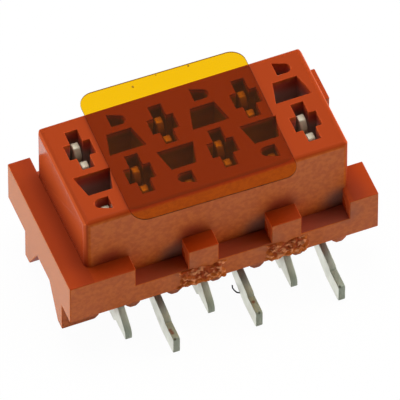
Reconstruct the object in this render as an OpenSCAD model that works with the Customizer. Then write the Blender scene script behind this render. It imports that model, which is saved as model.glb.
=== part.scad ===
// Six-position board socket with a zigzag row of fork contacts and a peel-off pick-up film.
// Millimetres, +Z up, origin on the board plane below the middle of the housing.
// X runs along the socket, the front is the -Y side, and odd contacts stand in the back row.

/* [Contact layout] */
// Distance along the socket from one contact to the next
pitch = 1.27; // [1.1:0.01:1.6]
// Distance across the socket between the two rows of forks
row_spacing = 1.42; // [1.3:0.02:1.8]

/* [Contact blade] */
// Thickness of the contact sheet
blade_t = 0.22; // [0.15:0.01:0.26]
// Width of the fork across both tines
fork_w = 1.0; // [0.9:0.02:1.2]
// Distance from the housing's top face down to the tine tips
fork_sink = 0.25; // [0.1:0.01:0.5]
// Width of the mouth between the tine tips
mouth_w = 0.5; // [0.4:0.02:0.6]
// Width of the narrow throat that grips the mating blade
throat_w = 0.2; // [0.12:0.01:0.3]
// Height of the sloped lead-in above the throat
lead_h = 0.22; // [0.15:0.01:0.4]
// Height of the straight gripping edge of the throat
grip_h = 0.18; // [0.1:0.01:0.3]
// Height of the slope that opens the throat below the grip
relief_h = 0.35; // [0.2:0.01:0.6]
// Width of the gap between the tines below the throat
relief_w = 0.38; // [0.3:0.01:0.5]
// Height of the solid stem below the gap between the tines
stem_h = 0.9; // [0.6:0.05:1.2]
// Width of the retention leg
leg_w = 0.22; // [0.18:0.01:0.26]
// Distance from the housing's top face down to the tip of the leg
leg_sink = 0.3; // [0.1:0.01:0.8]
// Radius of the tips of the tines, the leg and the foot
tip_r = 0.08; // [0.03:0.01:0.08]
// Height of the beam that joins fork, leg, foot and stub
beam_h = 0.94; // [0.7:0.02:1.1]

/* [Foot and stub] */
// Reach of the solder foot beyond the flange
foot_out = 1.1; // [0.8:0.02:1.5]
// Height of the foot at its tip
foot_h = 0.64; // [0.5:0.02:0.8]
// Length of the flat solder face under the foot
solder_l = 0.95; // [0.6:0.05:1.3]
// Rise of the foot's underside where it leaves the housing
foot_rise = 0.28; // [0.1:0.02:0.4]
// Length of the thinner outer stretch of the foot
coin_l = 0.65; // [0.4:0.05:0.9]
// Drop of the foot's top edge at that stretch
coin_drop = 0.1; // [0.04:0.01:0.2]
// Reach of the cut-off stub beyond the flange
stub_out = 0.6; // [0.4:0.02:0.9]
// Height of the stub's end above the board
stub_z = 0.66; // [0.5:0.02:0.9]
// Height of the stub's square end
stub_h = 0.3; // [0.2:0.02:0.4]
// Radius of the bend over the stub's end
stub_r = 0.4; // [0.1:0.05:0.4]
// Distance from the flange's edge in to the step in the stub's underside
stub_step = 0.15; // [0.05:0.01:0.4]

/* [Cavities] */
// Clearance each side of the blade in its slot
slot_clear = 0.08; // [0.03:0.01:0.15]
// Clearance at each end of the fork in its slot
fork_clear = 0.21; // [0.1:0.01:0.3]
// Length along the socket of the entry for the mating blade
entry_w = 0.8; // [0.65:0.01:0.95]
// Length across the socket of the entry for the mating blade
entry_l = 0.52; // [0.4:0.01:0.7]
// Depth of the entry for the mating blade
entry_depth = 2.4; // [1.5:0.05:3]
// Web between the fork slot and the core hole
slot_web = 0.2; // [0.15:0.01:0.3]
// Long side of the core hole, next to the fork slot
core_wide = 1.1; // [0.9:0.01:1.2]
// Short side of the core hole, next to the leg
core_narrow = 0.74; // [0.5:0.01:0.85]
// Length of the core hole across the socket
core_l = 0.72; // [0.5:0.01:0.9]
// Depth of the core hole
core_depth = 2.4; // [1.2:0.05:3]
// Web between the core hole and the leg's hole
leg_web = 0.22; // [0.15:0.01:0.3]
// Clearance between the leg's face and the flat side of its hole
leg_clear = 0.02; // [0.01:0.005:0.06]
// Clearance between the leg's edge and the inner side of its hole
leg_edge_clear = 0.03; // [0.01:0.01:0.06]
// Width across the socket of the leg's hole, along its flat side
leg_hole_w = 0.45; // [0.42:0.01:0.5]
// Length along the socket of the leg's hole, from its flat side to its round tip
leg_hole_l = 0.46; // [0.42:0.01:0.55]
// Radius of the round tip of the leg's hole
leg_hole_r = 0.16; // [0.12:0.01:0.2]

/* [Housing] */
// Height of the top face above the board
top_z = 4.95; // [4.5:0.05:5.6]
// Wall outside the leg holes
side_wall = 0.31; // [0.15:0.01:0.4]
// Distance from the end contact to the end face of the body
end_margin = 0.865; // [0.8:0.005:1.1]
// Radius of the body's upright corners
corner_r = 0.2; // [0.05:0.01:0.25]
// Radius of the body's top edges
edge_r = 0.18; // [0.05:0.01:0.25]

/* [Flange] */
// Height of the flange's underside above the board
flange_z = 1.42; // [1.25:0.02:1.7]
// Thickness of the low ledge
ledge_t = 0.78; // [0.6:0.02:1]
// Height of the raised blocks above the ledge
block_h = 0.75; // [0.5:0.05:1]
// Reach of the flange in front of and behind the body
ledge_out = 0.55; // [0.4:0.01:0.8]
// Reach of the flange beyond each end of the body
end_out = 0.69; // [0.5:0.005:0.9]
// Length along the socket of a raised block
block_w = 0.92; // [0.7:0.02:1.1]
// Length across the socket of the front block at the notched end
front_block_l = 1.26; // [0.9:0.02:1.4]
// Length across the socket of the back block at the notched end
back_block_l = 1.16; // [0.9:0.02:1.4]

/* [Underside] */
// Height of the ribs and feet above the board
rib_z = 0.32; // [0.2:0.01:0.5]
// Thickness of the ribs between the contacts
rib_w = 0.44; // [0.3:0.01:0.5]
// Bevel on the lower edges of the ribs
rib_bevel = 0.13; // [0.05:0.01:0.16]
// Distance from the body's faces in to the ends of the ribs
rib_inset = 0.12; // [0.02:0.01:0.2]
// Length of a foot where it leaves the end plate
foot_root_l = 0.98; // [0.8:0.02:1.1]
// Length of a foot at its lower end
foot_tip_l = 0.34; // [0.2:0.02:0.6]
// Distance from the middle of the end plate to the upright face of the back foot
back_foot_y = 1.13; // [1:0.01:1.4]

/* [Pick-up film] */
// Width of the film along the socket
film_w = 5.02; // [4:0.02:6]
// Length of the film across the socket
film_l = 4.86; // [4:0.02:5.2]
// Thickness of the film
film_t = 0.05; // [0.03:0.01:0.1]
// Radius of the film's corners
film_r = 0.45; // [0.2:0.05:0.8]
// Shift of the film along the socket
film_x = -0.13; // [-0.3:0.01:0.3]
// Shift of the film across the socket
film_y = 0.03; // [-0.2:0.01:0.2]
// Turn of the film on the top face
film_turn = -1; // [-5:0.5:5]

/* [Hidden] */

$fn = 48;
contacts = 6;
// Largest turn between two points of an arc
arc_step = 15;
// Overlap of a cut past the face that it opens
over = 0.1;

// Places measured across the socket from its middle, positive toward a contact's own solder foot
fork_c = row_spacing / 2;
slot_w = blade_t + 2 * slot_clear;
slot_l = fork_w + 2 * fork_clear;
core_near = fork_c - slot_l / 2 - slot_web;
core_far = core_near - core_l;
leg_hole_near = core_far - leg_web;
leg_hole_far = leg_hole_near - leg_hole_w;
leg_c = leg_hole_near - leg_edge_clear - leg_w / 2;

body_l = (contacts - 1) * pitch + 2 * end_margin;
body_d = 2 * (side_wall - leg_hole_far);
flange_l = body_l + 2 * end_out;
flange_d = body_d + 2 * ledge_out;
ledge_z = flange_z + ledge_t;
block_z = ledge_z + block_h;
rib_d = body_d - 2 * rib_inset;

foot_tip = flange_d / 2 + foot_out;
stub_tip = -flange_d / 2 - stub_out;
beam_z = flange_z - beam_h;
tine_z = top_z - fork_sink;
leg_z = top_z - leg_sink;

function contact_x(i) = (i - (contacts - 1) / 2) * pitch;
function in_front_row(i) = i % 2 == 1;

// Middle of rib i, halfway between two contacts but never past an end of the body
function rib_x(i) = max(-(body_l - rib_w) / 2, min((body_l - rib_w) / 2, contact_x(i - 0.5)));

function reversed(list) = [for (i = [len(list) - 1:-1:0]) list[i]];

function turned(p, angle) = [p.x * cos(angle) - p.y * sin(angle), p.x * sin(angle) + p.y * cos(angle)];

// Arc of radius r in place of corner b on the way from a to c
function rounded(a, b, c, r) =
    let (
        u = (a - b) / norm(a - b),
        v = (c - b) / norm(c - b),
        half = acos(u * v) / 2,
        middle = b + (u + v) / norm(u + v) * r / sin(half),
        start = b + u * r / tan(half) - middle,
        turn = sign(cross(v, u)) * (180 - 2 * half),
        steps = ceil(abs(turn) / arc_step)
    )
    [for (i = [0:steps]) middle + turned(start, turn * i / steps)];

tine_foot = [fork_w / 2, flange_z];
tine_tip = [fork_w / 2, tine_z];
tine_lip = [mouth_w / 2, tine_z];
tine_throat = [throat_w / 2, tine_z - lead_h];

// One tine's edge from its shoulder up, over the tip and down to the root of the gap
tine_edge = concat(
    [tine_foot],
    rounded(tine_foot, tine_tip, tine_lip, tip_r),
    rounded(tine_tip, tine_lip, tine_throat, tip_r),
    [
        tine_throat,
        tine_throat - [0, grip_h],
        [relief_w / 2, tine_throat.y - grip_h - relief_h]
    ]
);

// The edge of the outer tine for side 1, or of the inner tine for side -1
function tine(side) = [for (p = tine_edge) [fork_c + side * p.x, p.y]];

gap_root = [
    for (a = [0:arc_step:180])
        [fork_c + relief_w / 2 * cos(a), flange_z + stem_h + relief_w / 2 * (1 - sin(a))]
];

leg_in = leg_c + leg_w / 2;
leg_out = leg_c - leg_w / 2;
leg_edge = concat(
    [[leg_in, flange_z]],
    rounded([leg_in, flange_z], [leg_in, leg_z], [leg_out, leg_z], tip_r),
    rounded([leg_in, leg_z], [leg_out, leg_z], [leg_out, flange_z], tip_r),
    [[leg_out, flange_z]]
);

foot_edge = concat(
    [
        [fork_c + fork_w / 2, beam_z],
        [rib_d / 2, foot_rise],
        [foot_tip - solder_l, 0]
    ],
    rounded([foot_tip - solder_l, 0], [foot_tip, 0], [foot_tip, foot_h], tip_r),
    rounded([foot_tip, 0], [foot_tip, foot_h], [foot_tip - coin_l, foot_h], tip_r),
    [
        [foot_tip - coin_l, foot_h],
        [foot_tip - coin_l - coin_drop, foot_h + coin_drop],
        [rib_d / 2, foot_h + foot_rise],
        [fork_c + slot_l / 2, flange_z]
    ]
);

stub_edge = concat(
    [[-flange_d / 2, flange_z]],
    rounded([-flange_d / 2, flange_z], [stub_tip, stub_z + stub_h], [stub_tip, stub_z], stub_r),
    [
        [stub_tip, stub_z],
        [-flange_d / 2 + stub_step, stub_z],
        [-flange_d / 2 + 2 * stub_step, beam_z]
    ]
);

blade_outline = concat(foot_edge, tine(1), gap_root, reversed(tine(-1)), leg_edge, stub_edge);

module box(low, high) {
    translate(low) cube(high - low);
}

// Rectangle about the origin with round corners
module round_rect(l, d, r) {
    square([l - 2 * r, d], center = true);
    square([l, d - 2 * r], center = true);
    for (x = [-1, 1], y = [-1, 1])
        translate([x * (l / 2 - r), y * (d / 2 - r)]) circle(r);
}

// Bar along +Y whose section in X and Z is the child shape
module bar_along_y(d) {
    translate([0, d / 2, 0]) rotate([90, 0, 0]) linear_extrude(d) children();
}

// Section of the body with its two top edges rounded, standing on the flange's underside
module arched_section(w) {
    translate([-w / 2, flange_z]) square([w, top_z - edge_r - flange_z]);
    translate([-w / 2 + edge_r, flange_z]) square([w - 2 * edge_r, top_z - flange_z]);
    for (x = [-1, 1])
        translate([x * (w / 2 - edge_r), top_z - edge_r]) circle(edge_r);
}

module body_block() {
    intersection() {
        translate([0, 0, flange_z]) linear_extrude(top_z - flange_z) round_rect(body_l, body_d, corner_r);
        bar_along_y(body_d) arched_section(body_l);
        rotate([0, 0, 90]) bar_along_y(body_l) arched_section(body_d);
    }
}

// Raised blocks of the front ledge: a long one at the left end and a short one over each stub
module front_blocks() {
    y0 = -flange_d / 2;
    y1 = -body_d / 2 + corner_r;
    box([-flange_l / 2, y0, flange_z], [contact_x(0) + block_w / 2, y1, block_z]);
    for (i = [2:2:contacts - 1])
        box([contact_x(i) - block_w / 2, y0, flange_z], [contact_x(i) + block_w / 2, y1, block_z]);
}

// Low ledges at front and back, a full-width plate at the left end and an open notch at the right end
module flange() {
    box([-flange_l / 2, -flange_d / 2, flange_z], [body_l / 2, flange_d / 2, ledge_z]);
    box([-flange_l / 2, -flange_d / 2, flange_z], [-body_l / 2, flange_d / 2, block_z]);
    for (turn = [0, 180])
        rotate([0, 0, turn]) front_blocks();
    end_x = body_l / 2 - corner_r;
    box([end_x, -flange_d / 2, flange_z], [flange_l / 2, -flange_d / 2 + front_block_l, block_z]);
    box([end_x, flange_d / 2 - back_block_l, flange_z], [flange_l / 2, flange_d / 2, block_z]);
}

// Wall between two contact channels, with bevelled lower edges
module rib() {
    bar_along_y(rib_d)
        polygon([
            [-rib_w / 2, flange_z + ledge_t / 2],
            [-rib_w / 2, rib_z + rib_bevel],
            [-rib_w / 2 + rib_bevel, rib_z],
            [rib_w / 2 - rib_bevel, rib_z],
            [rib_w / 2, rib_z + rib_bevel],
            [rib_w / 2, flange_z + ledge_t / 2]
        ]);
}

// Foot below the end plate: upright face at y = 0, slanted face toward +Y
module end_foot() {
    foot_x = rib_x(0) + rib_w / 2 - rib_bevel;
    translate([-flange_l / 2, 0, 0])
        rotate([90, 0, 90])
            linear_extrude(flange_l / 2 + foot_x)
                polygon([
                    [0, flange_z + ledge_t / 2],
                    [0, rib_z],
                    [foot_tip_l, rib_z],
                    [foot_root_l, flange_z],
                    [foot_root_l, flange_z + ledge_t / 2]
                ]);
}

module underside() {
    for (i = [0:contacts])
        translate([rib_x(i), 0, 0]) rib();
    translate([0, -rib_d / 2, 0]) end_foot();
    translate([0, back_foot_y, 0]) mirror([0, 1, 0]) end_foot();
}

// Hole about the leg: a flat side beside the leg's right face, narrowing to a round tip at its inner left
module leg_hole_outline() {
    flat_x = blade_t / 2 + leg_clear;
    corner = [flat_x, leg_hole_far];
    tip = [flat_x - leg_hole_l + leg_hole_r, leg_hole_near - leg_hole_r];
    slant = atan2(corner.y - tip.y, corner.x - tip.x) - acos(leg_hole_r / norm(corner - tip));
    touch = tip + leg_hole_r * [cos(slant), sin(slant)];
    polygon([corner, [flat_x, leg_hole_near], [tip.x, leg_hole_near], touch]);
    translate(tip) circle(leg_hole_r);
}

// Openings for one contact, drawn for a contact whose solder foot points to +Y
module cavity() {
    translate([-slot_w / 2, fork_c - slot_l / 2, flange_z - over])
        cube([slot_w, slot_l, top_z - flange_z + 2 * over]);
    translate([-entry_w / 2, fork_c - entry_l / 2, top_z - entry_depth])
        cube([entry_w, entry_l, entry_depth + over]);
    translate([0, 0, top_z - core_depth])
        linear_extrude(core_depth + over)
            polygon([
                [-core_wide / 2, core_near],
                [core_wide / 2, core_near],
                [core_narrow / 2, core_far],
                [-core_narrow / 2, core_far]
            ]);
    translate([0, 0, flange_z - over])
        linear_extrude(top_z - flange_z + 2 * over) leg_hole_outline();
}

// Turns its child to the place of one contact
module at_contact(i) {
    translate([contact_x(i), 0, 0]) rotate([0, 0, in_front_row(i) ? 180 : 0]) children();
}

module housing() {
    color("orangered")
        difference() {
            union() {
                body_block();
                flange();
                underside();
            }
            for (i = [0:contacts - 1])
                at_contact(i) cavity();
        }
}

module contact(i) {
    color("silver")
        at_contact(i)
            translate([-blade_t / 2, 0, 0])
                rotate([90, 0, 90])
                    linear_extrude(blade_t) polygon(blade_outline);
}

module pickup_film() {
    color([0.93, 0.68, 0.06, 0.6])
        translate([film_x, film_y, top_z])
            rotate([0, 0, film_turn])
                linear_extrude(film_t) round_rect(film_w, film_l, film_r);
}

housing();
for (i = [0:contacts - 1])
    contact(i);
pickup_film();
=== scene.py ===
"""Looks of a six-position board socket: plastic, contacts, film, wear, camera and light."""
import math

import bmesh
import bpy
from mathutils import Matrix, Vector, geometry, noise


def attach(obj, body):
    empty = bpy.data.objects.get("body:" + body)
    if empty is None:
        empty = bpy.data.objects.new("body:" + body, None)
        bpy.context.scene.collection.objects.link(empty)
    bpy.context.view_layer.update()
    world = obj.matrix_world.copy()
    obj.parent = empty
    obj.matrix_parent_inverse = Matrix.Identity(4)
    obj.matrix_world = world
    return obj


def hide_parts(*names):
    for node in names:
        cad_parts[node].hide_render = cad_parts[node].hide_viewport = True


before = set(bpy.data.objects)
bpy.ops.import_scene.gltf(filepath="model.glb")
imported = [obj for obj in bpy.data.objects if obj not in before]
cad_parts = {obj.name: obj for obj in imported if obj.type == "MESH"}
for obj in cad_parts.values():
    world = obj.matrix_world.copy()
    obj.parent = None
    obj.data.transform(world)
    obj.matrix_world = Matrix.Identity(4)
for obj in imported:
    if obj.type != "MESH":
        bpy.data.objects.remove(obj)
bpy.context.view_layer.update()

# Lengths are in millimetres where MM is not a factor, and colours are linear.
MM = 0.001

# Camera: where it stands, and how far the picture's middle lies from the middle of the top face
VIEW_TURN = math.radians(21.63)
VIEW_RISE = math.radians(51.811)
VIEW_FAR = 400 * MM
VIEW_ANCHOR = Vector((0, 0, 4.952)) * MM
AIM_RIGHT = 0.201 * MM
AIM_DOWN = 1.8406 * MM
CLIP_NEAR = VIEW_FAR / 10
CLIP_FAR = VIEW_FAR * 100
PICTURE_SIDE = 400
PIXELS_PER_MM = 35.173
SENSOR = 36.0

# Light: soft boxes as direction, sharpness and strength, over a white floor
SOFT_BOXES = (
    ((0.0, 0.276, 0.961), 30.0, 10.0),
    ((0.906, 0.0, 0.423), 8.0, 4.0),
    ((-0.74, 0.621, 0.259), 8.0, 2.4),
)
FLOOR_SIDE = 2000 * MM
FLOOR_DROP = 0.01 * MM
FLOOR_WHITE = 0.97
FLOOR_MATTE = (0.95, 0.95, 0.95, 1)

# Sizes of the CAD model that the looks follow: FLANGE_Z is the flange's underside
BODY_HALF_L = 4.04
BODY_HALF_D = 1.9
TOP_Z = 4.95
FLANGE_Z = 1.42
LEDGE_Z = 2.2
FLANGE_FRONT = -2.45
FOOT_BEND = 2.85
FILM_MIDDLE = (-0.13, 0.03, 4.975)
FILM_HALF = (2.51, 2.43, 0.025)
FILM_TURN = math.radians(-1)
FILM_CORNER = 0.45
FILM_TOP = 5.0

# Rounding of outer edges: a long edge stays crisp where another lies within CROWD_REACH roundings
PLASTIC_EDGE = 0.03
METAL_EDGE = 0.03
FILM_EDGE = 0.008
EDGE_STEPS = 2
EDGE_PROFILE = 0.5
SHARP_ANGLE = math.radians(35)
FLAT_ANGLE = math.radians(0.5)
WELD = 0.0005
LONG_EDGE = 0.3
CROWD_REACH = 1.2

# Least part of a face's normal along an axis, for a face square to it and for one about square,
# and how far past the body's half length a face still counts as the body's
SQUARE = 0.99
ABOUT_SQUARE = 0.9
ON_BODY = 0.1

# Ranges of that part over which a tone comes in, and the range that most noise lies in
WALL_FACING = (0.8, 0.98)
END_FACING = (0.5, 0.9)
TOP_FACING = (0.5, 0.9)
END_FLAT = (0.985, 0.999)
NOISE_RANGE = (0.3, 0.7)

# Below, each grain is patches per millimetre and detail, and each bump is depth and strength.

# Plastic: colours by place, much of it painted light and shade, with the gloss of the top, of the
# long walls and of the body's ends
ORANGE = (0.4, 0.048, 0.006, 1)
# Painted highlight: lighter plastic on the rounded edges
ORANGE_EDGE_HIGHLIGHT = (0.48, 0.058, 0.01, 1)
# Painted shade: darker, greyer plastic on the low ledges, which the body shades
ORANGE_LEDGE_SHADE = (0.36, 0.07, 0.033, 1)
# Painted light: brighter plastic on the faces toward the ends
ORANGE_END_LIT = (0.66, 0.1, 0.018, 1)
# Painted highlight on the rounded edges toward the ends, lighter still
ORANGE_END_EDGE_HIGHLIGHT = (0.78, 0.15, 0.035, 1)
# Painted sheen: paler plastic on the left end faces beyond the body
ORANGE_OUTER_SHEEN = (0.69, 0.185, 0.03, 1)
ORANGE_SHADE = (0.28, 0.03, 0.008, 1)
ORANGE_WET = (0.245, 0.052, 0.024, 1)
# Painted shade in the top's openings: just below the top, the same under the film, and deep down
OPENING_SHADE_BARE = (0.46, 0.09, 0.055, 1)
OPENING_SHADE_COVERED = (0.25, 0.18, 0.15, 1)
OPENING_SHADE_DEEP = (0.44, 0.3, 0.26, 1)
# Tan: a painted sheen on the long walls, and the torn plastic's own tone
TAN_SHEEN_AND_TONE = (0.62, 0.145, 0.02, 1)
# Painted shade: near-black brown for the pockets of the front wall
POCKET_SHADE = (0.14, 0.065, 0.05, 1)
TOP_SHINE = 0.06
WALL_SHINE = 0.22
END_SHINE = 0.3
PLASTIC_ROUGH = 0.5
END_ROUGH = 0.18
ROUGH_SWAY = 0.05
BLOTCH_GRAIN = (7.0, 6.0)
BLOTCH_RANGE = (0.35, 0.65)
FINE_GRAIN = (22.0, 2.0)
PLASTIC_BUMP = (0.006, 0.3)
# Share of the painted sheen on the walls
TAN_SHEEN_SHARE = (0.55, 0.93)
# Height over which the painted shade of the ledges fades out
LEDGE_FADE = 0.2

# Where the plastic's tones, painted light and painted shade begin and end
CORE_IN = (0.1, 0.05)  # in from the body's outer faces
# The paler outer end is a painted sheen, and the shaded strip is painted shade
PALE_OUT = (0.1, 0.3)  # out from the body's end, for the paler outer end
STRIP_OUT = (0.1, 0.6)  # out from the body's end, for the shaded strip
STRIP_SHARE = 0.5
FLANGE_UP = (0.1, 0.3)  # up from the flange's underside
MIDDLE_FADE = 0.1  # to each side of the middle
# Depths below the top face over which the openings' painted shade comes in
OPENING_DEPTHS = (0.02, 0.25)  # down from the top face
DEEP_DEPTHS = (0.25, 0.7)
END_FOOT_Z = 2.7  # heights of the shade at the body's ends
END_TOP_Z = 4.5

# Painted shade on the front wall: patches above the blocks and dark pockets low by the ledge, as
# middles, radius and share of the colour
WALL_PATCH_SHADES = ((-3.3, -1.9, 3.0), (-0.75, -1.9, 3.0), (1.9, -1.9, 3.0))
WALL_PATCH_SHADE_R = 0.75
WALL_PATCH_SHADE_SHARE = 0.9
WALL_POCKET_SHADES = ((-1.2, -1.9, 2.3), (1.35, -1.9, 2.3), (3.8, -1.9, 2.45))
WALL_POCKET_SHADE_R = 0.85
WALL_POCKET_SHADE_SHARE = 0.85
SPOT_CORE = 0.2

# Torn plastic at the two gates: left, right, lower and upper limits on the flange's front face
SCARS = (
    ("gate_scar_left", -1.5, 0.06, 1.39, 2.16),
    ("gate_scar_right", 1.25, 2.6, 1.39, 2.13),
)
# The grid's step, how far it stands proud, lies sunk beside the scar and reaches into the flange
SCAR_STEP = 0.022
SCAR_PROUD = 0.13
SCAR_SUNK = 0.03
SCAR_ROOT = 0.1
SCAR_SLANT = 0.15
SCAR_SQUARENESS = 3
# Noise that makes the rim ragged and noise that makes the lumps: patches per millimetre, the plane
# that it is taken on, its settings, and how much it adds
RIM_SCALE = 4.0
RIM_PLANE = 7.0
RIM_NOISE = (1.0, 2.0, 3)
RIM_SWAY = 0.5
RIM_STEEP = 2.0
LUMP_SCALE_X = 4.5
LUMP_SCALE_Z = 5.5
LUMP_PLANE = 3.0
LUMP_NOISE = (0.9, 2.2, 3)
LUMP_MEAN = 0.5
LUMP_SWAY = 0.8
LUMP_LEAST = 0.1
# Tones: painted shade in patches toward the middle and above, with pale flecks of painted highlight
TORN_HIGHLIGHT = (0.9, 0.36, 0.15, 1)
TORN_SHADE = (0.36, 0.055, 0.009, 1)
TORN_SHINE = 0.1
TORN_ROUGH = (0.7, 0.5)
FLECK_GRAIN = (6.0, 1.5)
FLECK_STRETCH = (0.8, 1.0, 1.2)
FLECK_RANGE = (0.5, 0.68)
FLECK_BUMP = (0.02, 0.6)
PATCH_GRAIN = (4.0, 2.0)
PATCH_SWAY = 0.5
TORN_ASIDE = (0.55, 0.95)
TORN_ASIDE_SHARE = 0.3
TORN_RISE = (0.1, 0.6)
TORN_SHADE_RANGE = (0.1, 0.9)

# Tin plating: whole faces and sheared edges, toned inside the housing, with painted shade under the
# film and at the sheared tips, and with worn copper and dark spots
TIN = (0.88, 0.9, 0.8, 1)
TIN_TINE = (0.54, 0.5, 0.37, 1)
# Painted shade: a darker copy of the tines inside the housing, for the contacts under the film
TIN_SHADED_UNDER_FILM = (0.36, 0.21, 0.15, 1)
TIN_METALLIC = 0.8
TIN_ROUGH = (0.35, 0.48)
TIN_STRETCH = (1, 0.3, 0.3)
# Sheared edges: painted light on the inner stretch under the flange, painted shade toward the
# feet's tips
CUT = (0.55, 0.58, 0.46, 1)
CUT_TIP_SHADE = (0.33, 0.37, 0.28, 1)
CUT_METALLIC = 0.1
CUT_ROUGH = (0.45, 0.6)
CUT_STRETCH = (6, 0.5, 0.5)
INSIDE_METALLIC = 0.2
TIP_FADE = 0.2
CLOUD_GRAIN = (3.0, 4.0)
STREAK_GRAIN = (9.0, 3.0)
STREAK_DULL = 0.2
STREAK_SHARE = 0.7
TIN_BUMP = (0.004, 0.5)
COPPER = (0.2, 0.085, 0.045, 1)
COPPER_SPOTS = (
    (-1.96, -3.18, 0.64),
    (-1.95, -3.24, 0.64),
    (-1.94, -3.3, 0.64),
    (0.62, -3.11, 0.64),
)
COPPER_SPOT_R = 0.085
# Dark spots at the feet's tips
TIP_DARK = (0.07, 0.07, 0.035, 1)
TIP_DARK_SPOTS = ((-1.95, -3.52, 0.62), (0.64, -3.52, 0.62), (3.12, -3.5, 0.63))
TIP_DARK_SPOT_R = 0.06

# Film: tint, haze and share of haze of its face and rim, and the haze seen at a flat angle.
# Its stain on the plastic fades over FILM_BLEED, and FILM_GRIP times faster away from the top face.
FILM_TINT = (0.92, 0.53, 0.0, 1)
FILM_HAZE = (0.55, 0.25, 0.12, 1)
FILM_HAZE_SHARE = 0.035
RIM_TINT = (0.3, 0.2, 0.02, 1)
RIM_HAZE = (0.1, 0.05, 0.01, 1)
RIM_HAZE_SHARE = 0.1
BACK_HAZE_SHARE = 0.01
FLAT_HAZE_SHARE = 0.6
FLAT_BLEND = 0.5
FLAT_RANGE = (0.5, 1.0)
RIPPLE_GRAIN = (2.0, 2.0)
FILM_ROUGH = (0.12, 0.2)
FILM_BUMP = (0.01, 0.3)
FILM_LIFT = 0.002
FILM_BLEED = 0.06
FILM_GRIP = 8

# Dust on the film as place and size, and a curled fibre caught at a foot
GRAINS = ((-0.96, 2.23, 0.035), (0.79, 2.36, 0.03), (-0.19, 2.39, 0.02))
GRAIN_ROUND = 2
GRAIN_ROUGH = 0.5
GRAIN_FLAT = 0.4
GRAIN_APART = 5.0
FIBRE = (
    (0.53, -2.3, 0.13),
    (0.47, -2.22, 0.08),
    (0.44, -2.11, 0.05),
    (0.42, -2.01, 0.06),
    (0.44, -1.94, 0.1),
)
FIBRE_R = 0.021
FIBRE_SIDES = 6
DUST = (0.2, 0.1, 0.01, 1)
LINT = (0.03, 0.03, 0.03, 1)
DUST_PALER = 2.5
DUST_GRAIN = (30.0, 2.0)
DUST_ROUGH = 0.7
DUST_SHINE = 0.1

WHITE = (1, 1, 1, 1)
BLACK = (0, 0, 0, 1)

# Numbers of the Mix node's colour sockets
MIX_A = 6
MIX_B = 7
MIX_RESULT = 2


# Shader nodes

def make(tree, kind, inputs=None, **settings):
    """Add a shader node, set its properties, and set or link its inputs by name or number."""
    node = tree.nodes.new("ShaderNode" + kind)
    for key, value in settings.items():
        setattr(node, key, value)
    for key, value in (inputs or {}).items():
        plug(tree, value, node.inputs[key])
    return node


def plug(tree, value, socket):
    """Link a socket's value to an input, or set the input to a plain value."""
    if isinstance(value, bpy.types.NodeSocket):
        tree.links.new(value, socket)
    else:
        socket.default_value = value


def maths(tree, operation, a, b=0.0):
    return make(tree, "Math", {0: a, 1: b}, operation=operation).outputs[0]


def absolute(tree, value):
    return maths(tree, "ABSOLUTE", value)


def product(tree, first, *others):
    for other in others:
        first = maths(tree, "MULTIPLY", first, other)
    return first


def vector_maths(tree, operation, a, b=(0, 0, 0)):
    return make(tree, "VectorMath", {0: a, 1: b}, operation=operation).outputs[0]


def length_of(tree, vector):
    return make(tree, "VectorMath", {0: vector}, operation="LENGTH").outputs["Value"]


def split(tree, vector):
    return make(tree, "SeparateXYZ", {0: vector}).outputs


def mix_colour(tree, share, a, b):
    """Colour a where share is 0 and b where it is 1."""
    node = make(tree, "Mix", data_type="RGBA")
    plug(tree, share, node.inputs["Factor"])
    plug(tree, a, node.inputs[MIX_A])
    plug(tree, b, node.inputs[MIX_B])
    return node.outputs[MIX_RESULT]


def mix_shader(tree, share, a, b):
    """The material's surface: shader a where share is 0 and b where it is 1."""
    both = make(tree, "MixShader", {0: share, 1: a.outputs[0], 2: b.outputs[0]})
    tree.links.new(both.outputs[0], tree.nodes["Material Output"].inputs["Surface"])


def spread(tree, value, low, high, to_low=0.0, to_high=1.0):
    """Value mapped from low..high to to_low..to_high, with soft ends."""
    inputs = {"Value": value, "From Min": low, "From Max": high}
    inputs.update({"To Min": to_low, "To Max": to_high})
    return make(tree, "MapRange", inputs, interpolation_type="SMOOTHSTEP").outputs[0]


def fade(tree, value, low, high):
    """1 up to low, falling to 0 at high."""
    return spread(tree, value, low, high, 1.0, 0.0)


def new_material(name):
    """A material with its tree, its shader and the place on the piece in millimetres."""
    material = bpy.data.materials.new(name)
    material.use_nodes = True
    tree = material.node_tree
    coords = make(tree, "TexCoord").outputs["Object"]
    place = vector_maths(tree, "MULTIPLY", coords, (1 / MM, 1 / MM, 1 / MM))
    return material, tree, tree.nodes["Principled BSDF"], place


def grain(tree, place, scale, detail, stretch=(1, 1, 1)):
    """Noise with about scale patches per millimetre, finer along the axes with more stretch."""
    place = vector_maths(tree, "MULTIPLY", place, stretch)
    inputs = {"Vector": place, "Scale": scale, "Detail": detail}
    return make(tree, "TexNoise", inputs).outputs["Fac"]


def add_bump(tree, shader, height, depth, strength):
    inputs = {"Height": height, "Strength": strength, "Distance": depth * MM}
    tree.links.new(make(tree, "Bump", inputs).outputs[0], shader.inputs["Normal"])


# Places on the part, as shares from 0 to 1

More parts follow.
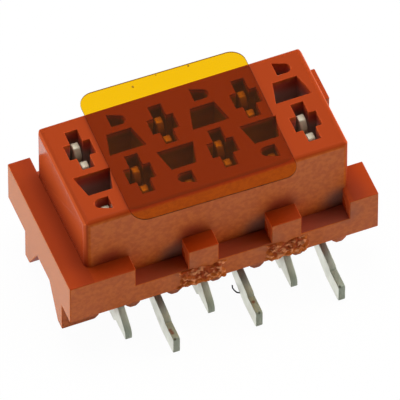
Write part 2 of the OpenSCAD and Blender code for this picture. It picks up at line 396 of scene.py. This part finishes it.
def under_film(tree, place, grip):
    """1 below the film, 0 beside it, and 0 as well away from the top face the more it grips."""
    turned = {"Vector": place, "Center": FILM_MIDDLE, "Angle": -FILM_TURN}
    place = make(tree, "VectorRotate", turned, rotation_type="Z_AXIS").outputs[0]
    away = vector_maths(tree, "ABSOLUTE", vector_maths(tree, "SUBTRACT", place, FILM_MIDDLE))
    straight = (FILM_HALF[0] - FILM_CORNER, FILM_HALF[1] - FILM_CORNER, FILM_HALF[2])
    past = vector_maths(tree, "MAXIMUM", vector_maths(tree, "SUBTRACT", away, straight))
    past = vector_maths(tree, "MULTIPLY", past, (1, 1, grip))
    return fade(tree, length_of(tree, past), FILM_CORNER - FILM_BLEED, FILM_CORNER + FILM_BLEED)


def in_openings(tree, place, shallow, deep):
    """0 on the outside of the housing, rising to 1 between two depths in the top's openings."""
    x, y, z = split(tree, place)
    along = fade(tree, absolute(tree, x), BODY_HALF_L - CORE_IN[0], BODY_HALF_L - CORE_IN[1])
    across = fade(tree, absolute(tree, y), BODY_HALF_D - CORE_IN[0], BODY_HALF_D - CORE_IN[1])
    below_top = fade(tree, z, TOP_Z - deep, TOP_Z - shallow)
    above_flange = spread(tree, z, FLANGE_Z + FLANGE_UP[0], FLANGE_Z + FLANGE_UP[1])
    return product(tree, along, across, below_top, above_flange)


def spots(tree, place, points, radius):
    """1 at any of the points, fading out at radius millimetres."""
    total = 0.0
    for point in points:
        away = length_of(tree, vector_maths(tree, "SUBTRACT", place, point))
        total = maths(tree, "MAXIMUM", fade(tree, away, radius * SPOT_CORE, radius), total)
    return total


# Materials

def ledge_shade(tree, place, top, base):
    """Painted shade on the low ledges of the flange and on its underside: darker, greyer plastic.
    """
    _, _, height = split(tree, place)
    low = product(tree, top, fade(tree, height, LEDGE_Z, LEDGE_Z + LEDGE_FADE))
    return mix_colour(tree, low, base, ORANGE_LEDGE_SHADE)


def wall_sheen(tree, wall, blotch, base):
    """Tan mottling on the long walls: a painted sheen in random blotches."""
    pale = product(tree, wall, spread(tree, blotch, *BLOTCH_RANGE, *TAN_SHEEN_SHARE))
    return mix_colour(tree, pale, base, TAN_SHEEN_AND_TONE)


def end_light_and_shade(tree, place, end, top, base, lit_end_colour):
    """Painted light on the ends, painted shade at the body's foot and the strip beside it, and a
    paler painted sheen on the outer left.
    """
    x, _, z = split(tree, place)
    along = absolute(tree, x)
    at_end = spread(tree, along, BODY_HALF_L - CORE_IN[0], BODY_HALF_L - CORE_IN[1])
    foot = product(tree, at_end, fade(tree, z, END_FOOT_Z, END_TOP_Z))
    outer = spread(tree, along, BODY_HALF_L + PALE_OUT[0], BODY_HALF_L + PALE_OUT[1])
    pale = product(tree, outer, fade(tree, x, -MIDDLE_FADE, MIDDLE_FADE))
    colour = mix_colour(tree, foot, lit_end_colour, ORANGE_SHADE)
    base = mix_colour(tree, end, base, mix_colour(tree, pale, colour, ORANGE_OUTER_SHEEN))
    strip_range = (BODY_HALF_L + STRIP_OUT[0], BODY_HALF_L + STRIP_OUT[1])
    strip = product(tree, top, foot, spread(tree, along, *strip_range, STRIP_SHARE, 0.0))
    return mix_colour(tree, strip, base, ORANGE_SHADE)


def wall_shade(tree, place, wall, base):
    """Painted shade at a few spots of the front wall and the flange below it: dark patches and
    darker pockets.
    """
    patch_shade = spots(tree, place, WALL_PATCH_SHADES, WALL_PATCH_SHADE_R)
    base = mix_colour(tree, product(tree, wall, patch_shade, WALL_PATCH_SHADE_SHARE), base, ORANGE_SHADE)
    pocket_shade = spots(tree, place, WALL_POCKET_SHADES, WALL_POCKET_SHADE_R)
    return mix_colour(tree, product(tree, wall, pocket_shade, WALL_POCKET_SHADE_SHARE), base, POCKET_SHADE)


def film_stain_and_opening_shade(tree, place, base):
    """Plastic stained under the film, and painted shade down in the openings, darker under the
    film.
    """
    base = mix_colour(tree, under_film(tree, place, FILM_GRIP), base, ORANGE_WET)
    covered = under_film(tree, place, 0)
    opening_shade = mix_colour(tree, covered, OPENING_SHADE_BARE, OPENING_SHADE_COVERED)
    base = mix_colour(tree, in_openings(tree, place, *OPENING_DEPTHS), base, opening_shade)
    return mix_colour(tree, in_openings(tree, place, *DEEP_DEPTHS), base, OPENING_SHADE_DEEP)


def plastic(name, colour, lit_end_colour, shine):
    """Satin moulded plastic, mottled with a painted sheen on the long walls, smoother on the ends,
    and toned by place with painted light and shade.
    """
    material, tree, shader, place = new_material(name)
    normal = make(tree, "NewGeometry").outputs["Normal"]
    to_end, to_wall, to_top = split(tree, vector_maths(tree, "ABSOLUTE", normal))
    end = spread(tree, to_end, *END_FACING)
    wall = spread(tree, to_wall, *WALL_FACING)
    top = spread(tree, to_top, *TOP_FACING)
    blotch = grain(tree, place, *BLOTCH_GRAIN)
    fine = grain(tree, place, *FINE_GRAIN)
    base = ledge_shade(tree, place, top, colour)
    base = wall_sheen(tree, wall, blotch, base)
    base = end_light_and_shade(tree, place, end, top, base, lit_end_colour)
    base = wall_shade(tree, place, wall, base)
    base = film_stain_and_opening_shade(tree, place, base)
    tree.links.new(base, shader.inputs["Base Color"])
    rough = spread(tree, to_end, *END_FLAT, PLASTIC_ROUGH, END_ROUGH)
    sway = spread(tree, fine, *NOISE_RANGE, -ROUGH_SWAY, ROUGH_SWAY)
    tree.links.new(maths(tree, "ADD", rough, sway), shader.inputs["Roughness"])
    shader.inputs["Specular IOR Level"].default_value = shine
    add_bump(tree, shader, maths(tree, "ADD", fine, blotch), *PLASTIC_BUMP)
    return material


def torn_plastic(name, left, right, lower, upper):
    """Broken plastic of a gate: painted shade above its middle, paler below and at its ends, with
    flecks of painted highlight.
    """
    material, tree, shader, place = new_material(name)
    x, _, z = split(tree, place)
    from_middle = maths(tree, "SUBTRACT", x, (left + right) / 2)
    aside = absolute(tree, maths(tree, "DIVIDE", from_middle, (right - left) / 2))
    rise = spread(tree, z, lower, upper)
    fleck = grain(tree, place, *FLECK_GRAIN, FLECK_STRETCH)
    patch = grain(tree, place, *PATCH_GRAIN)
    inner = spread(tree, aside, *TORN_ASIDE, 1.0, TORN_ASIDE_SHARE)
    dark = product(tree, inner, spread(tree, rise, *TORN_RISE))
    sway = spread(tree, patch, *NOISE_RANGE, -PATCH_SWAY, PATCH_SWAY)
    dark = spread(tree, maths(tree, "ADD", dark, sway), *TORN_SHADE_RANGE)
    base = mix_colour(tree, dark, TAN_SHEEN_AND_TONE, TORN_SHADE)
    base = mix_colour(tree, spread(tree, fleck, *FLECK_RANGE), base, TORN_HIGHLIGHT)
    tree.links.new(base, shader.inputs["Base Color"])
    tree.links.new(spread(tree, fleck, *NOISE_RANGE, *TORN_ROUGH), shader.inputs["Roughness"])
    shader.inputs["Specular IOR Level"].default_value = TORN_SHINE
    add_bump(tree, shader, fleck, *FLECK_BUMP)
    return material


def tin(name, colour, tip, inside, metallic, rough, stretch):
    """Matte tin with soft streaks, darker toward the foot's tip as painted shade, of another tone
    inside the housing, which under the film is painted shade, with worn copper and dark spots."""
    material, tree, shader, place = new_material(name)
    _, across, height = split(tree, place)
    to_tip = spread(tree, absolute(tree, across), FOOT_BEND - TIP_FADE, FOOT_BEND + TIP_FADE)
    cloud = grain(tree, place, *CLOUD_GRAIN)
    streak = grain(tree, place, *STREAK_GRAIN, stretch)
    base = mix_colour(tree, to_tip, colour, tip)
    dull = mix_colour(tree, STREAK_DULL, base, BLACK)
    base = mix_colour(tree, spread(tree, streak, *NOISE_RANGE, 0.0, STREAK_SHARE), base, dull)
    base = mix_colour(tree, spread(tree, height, FLANGE_Z, LEDGE_Z), base, inside)
    base = mix_colour(tree, spots(tree, place, COPPER_SPOTS, COPPER_SPOT_R), base, COPPER)
    base = mix_colour(tree, spots(tree, place, TIP_DARK_SPOTS, TIP_DARK_SPOT_R), base, TIP_DARK)
    tree.links.new(base, shader.inputs["Base Color"])
    metal = spread(tree, height, FLANGE_Z, LEDGE_Z, metallic, INSIDE_METALLIC)
    tree.links.new(metal, shader.inputs["Metallic"])
    tree.links.new(spread(tree, cloud, *NOISE_RANGE, *rough), shader.inputs["Roughness"])
    add_bump(tree, shader, streak, *TIN_BUMP)
    return material


def tinted_film(name, tint, haze, haze_share):
    """Clear film: it tints what lies behind it and scatters a little, more so at a flat angle."""
    material, tree, shader, place = new_material(name)
    ripple = grain(tree, place, *RIPPLE_GRAIN)
    shader.inputs["Base Color"].default_value = haze
    tree.links.new(spread(tree, ripple, *NOISE_RANGE, *FILM_ROUGH), shader.inputs["Roughness"])
    add_bump(tree, shader, ripple, *FILM_BUMP)
    clear = make(tree, "BsdfTransparent", {"Color": tint})
    flat = make(tree, "LayerWeight", {"Blend": FLAT_BLEND}).outputs["Facing"]
    share = spread(tree, flat, *FLAT_RANGE, haze_share, FLAT_HAZE_SHARE)
    mix_shader(tree, share, clear, shader)
    return material


def speckled(name, colour):
    """Dark dust or lint with a little grain."""
    material, tree, shader, place = new_material(name)
    pale = tuple(DUST_PALER * part for part in colour[:3]) + (1,)
    tone = spread(tree, grain(tree, place, *DUST_GRAIN), *NOISE_RANGE)
    tree.links.new(mix_colour(tree, tone, colour, pale), shader.inputs["Base Color"])
    shader.inputs["Roughness"].default_value = DUST_ROUGH
    shader.inputs["Specular IOR Level"].default_value = DUST_SHINE
    return material


def lit_white(name):
    """White that the camera and reflections see as lit, and that keeps a pale shadow."""
    material = bpy.data.materials.new(name)
    material.use_nodes = True
    tree = material.node_tree
    path = make(tree, "LightPath").outputs
    shown = maths(tree, "MAXIMUM", path["Is Camera Ray"], path["Is Glossy Ray"])
    shown = maths(tree, "MAXIMUM", shown, path["Is Transmission Ray"])
    matte = make(tree, "BsdfDiffuse", {"Color": FLOOR_MATTE})
    glow = make(tree, "Emission", {"Color": WHITE, "Strength": 1.0})
    mix_shader(tree, product(tree, shown, FLOOR_WHITE), matte, glow)
    return material


# Meshes

def finished_piece(name, bm, materials, node=None):
    """Add a smooth piece from a mesh in millimetres. It rides on the body, may stand for a node
    and takes its finishes from the given materials."""
    bmesh.ops.scale(bm, vec=(MM, MM, MM), verts=bm.verts)
    mesh = bpy.data.meshes.new(name)
    bm.to_mesh(mesh)
    bm.free()
    for material in materials:
        mesh.materials.append(material)
    mesh.polygons.foreach_set("use_smooth", [True] * len(mesh.polygons))
    piece = bpy.data.objects.new(name, mesh)
    bpy.context.scene.collection.objects.link(piece)
    level = piece.modifiers.new("flat_faces", "WEIGHTED_NORMAL")
    level.keep_sharp = True
    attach(piece, "root")
    if node:
        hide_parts(node)


def crowded(edge, width):
    """True for a long edge whose faces have another edge too near its middle to be rounded."""
    if edge.calc_length() < LONG_EDGE:
        return False
    ends = set(edge.verts)
    middle = (edge.verts[0].co + edge.verts[1].co) / 2
    for face in edge.link_faces:
        for other in face.edges:
            if ends & set(other.verts):
                continue
            start, end = (vert.co for vert in other.verts)
            share = geometry.intersect_point_line(middle, start, end)[1]
            nearest = start.lerp(end, max(0.0, min(1.0, share)))
            if (nearest - middle).length < CROWD_REACH * width:
                return True
    return False


def soft_edged(node, width, edge_slot=0):
    """The node's mesh in millimetres, with outer edges rounded and inner edges kept crisp."""
    bm = bmesh.new()
    bm.from_mesh(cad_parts[node].data)
    bmesh.ops.scale(bm, vec=(1 / MM, 1 / MM, 1 / MM), verts=bm.verts)
    bmesh.ops.remove_doubles(bm, verts=bm.verts, dist=WELD)
    bmesh.ops.dissolve_limit(bm, angle_limit=FLAT_ANGLE, verts=bm.verts, edges=bm.edges)
    for face in bm.faces:
        face.material_index = 0
    whole = [edge for edge in bm.edges if edge.is_manifold]
    outer = [edge for edge in whole if edge.calc_face_angle_signed() > SHARP_ANGLE]
    bmesh.ops.bevel(
        bm,
        geom=[edge for edge in outer if not crowded(edge, width)],
        offset=width,
        offset_type="OFFSET",
        segments=EDGE_STEPS,
        profile=EDGE_PROFILE,
        affect="EDGES",
        clamp_overlap=False,
        material=edge_slot,
    )
    for edge in bm.edges:
        if edge.is_manifold and edge.calc_face_angle_signed() < -SHARP_ANGLE:
            edge.smooth = False
    return bm


def scar_height(x, z, left, right, lower, upper):
    """How far the torn plastic stands out of the face, below 0 where the face is whole."""
    u = (2 * x - left - right) / (right - left)
    v = (2 * z - lower - upper) / (upper - lower)
    rim = 1 - max(abs(u) ** SCAR_SQUARENESS, abs(v + SCAR_SLANT * u) ** SCAR_SQUARENESS)
    ragged = noise.fractal(Vector((x * RIM_SCALE, z * RIM_SCALE, RIM_PLANE)), *RIM_NOISE)
    lump = noise.fractal(Vector((x * LUMP_SCALE_X, z * LUMP_SCALE_Z, LUMP_PLANE)), *LUMP_NOISE)
    inside = max(0.0, min(1.0, (rim + RIM_SWAY * ragged) * RIM_STEEP))
    proud = SCAR_PROUD * max(LUMP_LEAST, LUMP_MEAN + LUMP_SWAY * lump)
    return inside * proud - (1 - inside) * SCAR_SUNK


def scar_front(bm, left, right, lower, upper):
    """The torn surface as a grid of points in rows from below, joined by faces."""
    columns = round((right - left) / SCAR_STEP)
    rows = round((upper - lower) / SCAR_STEP)
    grid = []
    for row in range(rows + 1):
        z = lower + (upper - lower) * row / rows
        line = []
        for column in range(columns + 1):
            x = left + (right - left) * column / columns
            y = FLANGE_FRONT - scar_height(x, z, left, right, lower, upper)
            line.append(bm.verts.new((x, y, z)))
        grid.append(line)
    for below, above in zip(grid, grid[1:]):
        for i in range(columns):
            bm.faces.new((below[i], below[i + 1], above[i + 1], above[i]))
    return grid


def close_behind(bm, grid, depth):
    """Close a grid of points to a solid, with walls from its rim to a flat back at depth."""
    left_side = [line[0] for line in reversed(grid[1:-1])]
    right_side = [line[-1] for line in grid[1:-1]]
    rim = grid[0] + right_side + grid[-1][::-1] + left_side
    root = [bm.verts.new((vert.co.x, depth, vert.co.z)) for vert in rim]
    for i in range(len(rim)):
        bm.faces.new((rim[i], rim[i - 1], root[i - 1], root[i]))
        bm.edges.get((rim[i], rim[i - 1])).smooth = False
    bm.faces.new(root)
    bmesh.ops.recalc_face_normals(bm, faces=bm.faces)


# The scene

def build_camera():
    """Camera at the photo's viewing angle, far away, so that lines stay nearly parallel."""
    flat = math.cos(VIEW_RISE)
    back = Vector((-math.sin(VIEW_TURN) * flat, -math.cos(VIEW_TURN) * flat, math.sin(VIEW_RISE)))
    right = Vector((math.cos(VIEW_TURN), -math.sin(VIEW_TURN), 0))
    down = right.cross(back)
    data = bpy.data.cameras.new("camera")
    data.sensor_width = SENSOR
    data.lens = PIXELS_PER_MM * (VIEW_FAR / MM) / PICTURE_SIDE * SENSOR
    data.clip_start = CLIP_NEAR
    data.clip_end = CLIP_FAR
    camera = bpy.data.objects.new("camera", data)
    camera.location = VIEW_ANCHOR + back * VIEW_FAR
    aim = VIEW_ANCHOR + right * AIM_RIGHT + down * AIM_DOWN
    camera.rotation_mode = "QUATERNION"
    camera.rotation_quaternion = (aim - camera.location).to_track_quat("-Z", "Y")
    bpy.context.scene.collection.objects.link(camera)
    bpy.context.scene.camera = camera


def build_floor():
    """White floor just below the solder feet."""
    half = FLOOR_SIDE / 2
    sides = ((-half, -half), (half, -half), (half, half), (-half, half))
    mesh = bpy.data.meshes.new("floor")
    mesh.from_pydata([(x, y, -FLOOR_DROP) for x, y in sides], [], [(0, 1, 2, 3)])
    mesh.materials.append(lit_white("floor_white"))
    floor = bpy.data.objects.new("floor", mesh)
    bpy.context.scene.collection.objects.link(floor)


def build_sky():
    """Soft boxes above, at the right and behind the left, with little light from the camera."""
    world = bpy.data.worlds.new("studio")
    world.use_nodes = True
    tree = world.node_tree
    aim = make(tree, "TexCoord").outputs["Generated"]
    total = 0.0
    for axis, sharpness, strength in SOFT_BOXES:
        dot = make(tree, "VectorMath", {0: aim, 1: axis}, operation="DOT_PRODUCT")
        toward = maths(tree, "MAXIMUM", dot.outputs["Value"])
        lobe = maths(tree, "POWER", toward, sharpness)
        total = maths(tree, "ADD", product(tree, lobe, strength), total)
    light = tree.nodes["Background"]
    light.inputs["Color"].default_value = WHITE
    plug(tree, total, light.inputs["Strength"])
    bpy.context.scene.world = world
    bpy.context.scene.view_settings.view_transform = "Standard"


def build_housing():
    """Housing with a plastic each for its edges, lighter with a painted highlight, its long walls,
    body ends and all other faces.
    """
    plain, edge, wall, end = range(4)
    bm = soft_edged("housing", PLASTIC_EDGE, edge)
    for face in bm.faces:
        if face.material_index == edge:
            continue
        on_body = abs(face.calc_center_median().x) < BODY_HALF_L + ON_BODY
        if abs(face.normal.y) > SQUARE:
            face.material_index = wall
        elif abs(face.normal.x) > SQUARE and on_body:
            face.material_index = end
        else:
            face.material_index = plain
    materials = [
        plastic("moulded_plastic", ORANGE, ORANGE_END_LIT, TOP_SHINE),
        plastic("plastic_edge_highlight", ORANGE_EDGE_HIGHLIGHT, ORANGE_END_EDGE_HIGHLIGHT, TOP_SHINE),
        plastic("plastic_wall", ORANGE, ORANGE_END_LIT, WALL_SHINE),
        plastic("plastic_end", ORANGE, ORANGE_END_LIT, END_SHINE),
    ]
    finished_piece("socket_housing", bm, materials, "housing")


def build_contacts():
    """Fork contacts: plated on the sheet's faces, sheared on the edges of the feet."""
    plating = (TIN_METALLIC, TIN_ROUGH, TIN_STRETCH)
    shearing = (CUT_METALLIC, CUT_ROUGH, CUT_STRETCH)
    bare = tin("tin_plating", TIN, TIN, TIN_TINE, *plating)
    covered = tin("tin_plating_shaded_under_film", TIN, TIN, TIN_SHADED_UNDER_FILM, *plating)
    sheared = tin("sheared_edge", CUT, CUT_TIP_SHADE, CUT, *shearing)
    sheet, cut = range(2)
    for node in sorted(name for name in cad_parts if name.startswith("contact_")):
        bm = soft_edged(node, METAL_EDGE)
        middle = sum(vert.co.x for vert in bm.verts) / len(bm.verts)
        plated = covered if abs(middle - FILM_MIDDLE[0]) < FILM_HALF[0] else bare
        for face in bm.faces:
            low = face.calc_center_median().z < FLANGE_Z
            face.material_index = cut if low and abs(face.normal.x) < ABOUT_SQUARE else sheet
        finished_piece("fork_" + node, bm, [plated, sheared], node)


def build_film():
    """Amber film, whose underside is lifted so that it does not coincide with the housing's top."""
    bm = soft_edged("pickup_film", FILM_EDGE)
    for vert in bm.verts:
        vert.co.z = max(vert.co.z, TOP_Z + FILM_LIFT)
    front, rim, back = range(3)
    for face in bm.faces:
        if face.normal.z > ABOUT_SQUARE:
            face.material_index = front
        else:
            face.material_index = rim if face.normal.z > -ABOUT_SQUARE else back
    materials = [
        tinted_film("amber_film", FILM_TINT, FILM_HAZE, FILM_HAZE_SHARE),
        tinted_film("amber_film_edge", RIM_TINT, RIM_HAZE, RIM_HAZE_SHARE),
        tinted_film("amber_film_back", WHITE, FILM_HAZE, BACK_HAZE_SHARE),
    ]
    finished_piece("peel_film", bm, materials, "pickup_film")


def build_scars():
    """Torn plastic on the flange's front, rooted in the housing."""
    for name, *limits in SCARS:
        bm = bmesh.new()
        close_behind(bm, scar_front(bm, *limits), FLANGE_FRONT + SCAR_ROOT)
        material = torn_plastic(name + "_plastic", *limits)
        finished_piece(name, bm, [material])


def build_dust():
    """Flat, uneven grains on the film."""
    bm = bmesh.new()
    for number, (x, y, size) in enumerate(GRAINS):
        made = bmesh.ops.create_icosphere(bm, subdivisions=GRAIN_ROUND, radius=size)["verts"]
        apart = Vector((number * GRAIN_APART, 0, 0))
        for vert in made:
            vert.co *= 1 + GRAIN_ROUGH * noise.noise(vert.co / size + apart)
            vert.co.z *= GRAIN_FLAT
            vert.co += Vector((x, y, FILM_TOP))
    finished_piece("dust_grains", bm, [speckled("dust", DUST)])


def build_fibre():
    """Thin closed tube along the fibre's points."""
    bm = bmesh.new()
    points = [Vector(point) for point in FIBRE]
    angles = [2 * math.pi * k / FIBRE_SIDES for k in range(FIBRE_SIDES)]
    rings = []
    for i, point in enumerate(points):
        along = (points[min(i + 1, len(points) - 1)] - points[max(i - 1, 0)]).normalized()
        first = along.orthogonal().normalized()
        second = along.cross(first)
        spokes = [FIBRE_R * (math.cos(a) * first + math.sin(a) * second) for a in angles]
        rings.append([bm.verts.new(point + spoke) for spoke in spokes])
    for one, two in zip(rings, rings[1:]):
        for k in range(FIBRE_SIDES):
            after = (k + 1) % FIBRE_SIDES
            bm.faces.new((one[k], one[after], two[after], two[k]))
    bm.faces.new(rings[0][::-1])
    bm.faces.new(rings[-1])
    finished_piece("lint_fibre", bm, [speckled("lint", LINT)])


build_camera()
build_floor()
build_sky()
build_housing()
build_contacts()
build_film()
build_scars()
build_dust()
build_fibre()
